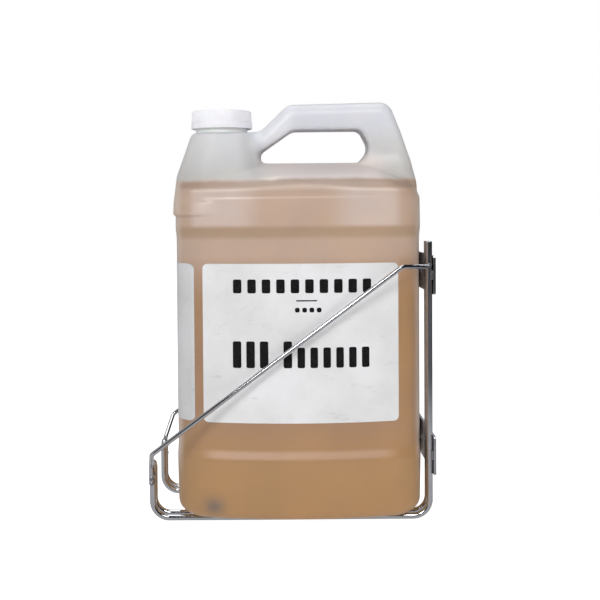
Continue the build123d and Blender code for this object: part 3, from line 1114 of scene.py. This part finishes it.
# Bright metal mirrors a floor that is light near the object and dark further away.
MIRRORED_NEAR, MIRRORED_FAR = 0.62, 0.08
NEAR_FLOOR, FAR_FLOOR = 0.25, 0.7
AIM = (0, 0, 0.14)
LOW_AIM = (0, 0, 0.1)
# Around the object: light on one side, dark on the other, which bright metal mirrors dimmer.
DARK_SIDE = (0.8, -0.6, 0.1)
DARK_RAMP = (-0.5, 0.1)
BRIGHT, DARK = 0.75, 0.02
MIRRORED_WORLD = 0.6


def build_floor():
    m = shader("floor", (0.5, 0.5, 0.5), 0.9, Specular_IOR_Level=0.1)
    surface = m.node_tree.nodes["Principled BSDF"]
    surface.inputs["Emission Color"].default_value = (1, 1, 1, 1)
    rays = node(m, "ShaderNodeLightPath").outputs
    reach = node(m, "ShaderNodeVectorMath", operation="LENGTH")
    link(m, object_place(m), reach.inputs[0])
    fall = ranged(m, reach.outputs["Value"], MIRRORED_NEAR, MIRRORED_FAR, NEAR_FLOOR, FAR_FLOOR, smooth=True)
    mirrored = node(m, "ShaderNodeMix")
    mirrored.inputs["A"].default_value = 1.0
    link(m, rays["Is Glossy Ray"], mirrored.inputs["Factor"])
    link(m, fall, mirrored.inputs["B"])
    glow = times(m, ranged(m, rays["Is Camera Ray"], FLOOR_GLOW, FLOOR_SEEN), mirrored.outputs["Result"])
    link(m, glow, surface.inputs["Emission Strength"])
    shade = between(m, rays["Is Glossy Ray"], (0.5, 0.5, 0.5), (0.05, 0.05, 0.06))
    link(m, shade, surface.inputs["Base Color"])
    mesh = bpy.data.meshes.new("floor")
    corners = [(x * FLOOR_HALF, y * FLOOR_HALF, 0) for x, y in ((-1, -1), (1, -1), (1, 1), (-1, 1))]
    mesh.from_pydata(corners, [], [(0, 1, 2, 3)])
    mesh.materials.append(m)
    floor = bpy.data.objects.new("floor", mesh)
    bpy.context.scene.collection.objects.link(floor)


def area_light(name, place, width, height, power, aim=AIM, mirrored=True):
    data = bpy.data.lights.new(name, "AREA")
    data.shape = "RECTANGLE"
    data.size = width
    data.size_y = height
    data.energy = power
    lamp = bpy.data.objects.new(name, data)
    lamp.location = place
    lamp.rotation_euler = (Vector(aim) - Vector(place)).to_track_quat("-Z", "Y").to_euler()
    lamp.visible_glossy = mirrored
    bpy.context.scene.collection.objects.link(lamp)


def studio_world():
    """White behind the object, with a darker side that bright metal mirrors."""
    world = bpy.data.worlds.new("studio")
    bpy.context.scene.world = world
    world.use_nodes = True
    world.node_tree.nodes.clear()
    out = node(world, "ShaderNodeOutputWorld")
    where = node(world, "ShaderNodeTexCoord")
    toward = node(world, "ShaderNodeVectorMath", operation="DOT_PRODUCT")
    toward.inputs[1].default_value = DARK_SIDE
    link(world, where.outputs["Generated"], toward.inputs[0])
    ramp = ranged(world, toward.outputs["Value"], BRIGHT, DARK, *DARK_RAMP, smooth=True)
    rays = node(world, "ShaderNodeLightPath").outputs
    dimmed = times(world, ramp, ranged(world, rays["Is Glossy Ray"], 1.0, MIRRORED_WORLD))
    around = node(world, "ShaderNodeBackground")
    link(world, dimmed, around.inputs["Strength"])
    behind = node(world, "ShaderNodeBackground")
    behind.inputs["Color"].default_value = (1, 1, 1, 1)
    choose = node(world, "ShaderNodeMixShader")
    link(world, rays["Is Camera Ray"], choose.inputs["Fac"])
    link(world, around.outputs["Background"], choose.inputs[1])
    link(world, behind.outputs["Background"], choose.inputs[2])
    link(world, choose.outputs["Shader"], out.inputs["Surface"])


def build_camera():
    """The photograph's viewing angle: almost level, shifted down a little, turned by its roll."""
    data = bpy.data.cameras.new("camera")
    data.sensor_width = 36
    data.lens = 63.389
    data.shift_x = 0.03168
    data.shift_y = -0.1
    camera = bpy.data.objects.new("camera", data)
    camera.location = (-0.00626, -0.72639, 0.2027)
    camera.rotation_euler = (math.radians(90 - 1.598), math.radians(0.414), 0)
    bpy.context.scene.collection.objects.link(camera)
    bpy.context.scene.camera = camera


build_floor()
area_light("key", (-0.62, -1.55, 1.0), 0.56, 0.56, 10.0)
area_light("side", (-1.7, -0.9, 0.6), 0.7, 1.3, 0.5)
area_light("front", (0.25, -1.8, 1.4), 0.8, 0.5, 9.9)
area_light("fill", (1.5, -1.2, 0.6), 0.3, 1.0, 8.4, mirrored=False)
area_light("top", (0.0, 0.2, 2.0), 1.6, 1.6, 15.5, LOW_AIM)
studio_world()
build_camera()
bpy.context.scene.view_settings.view_transform = "Standard"
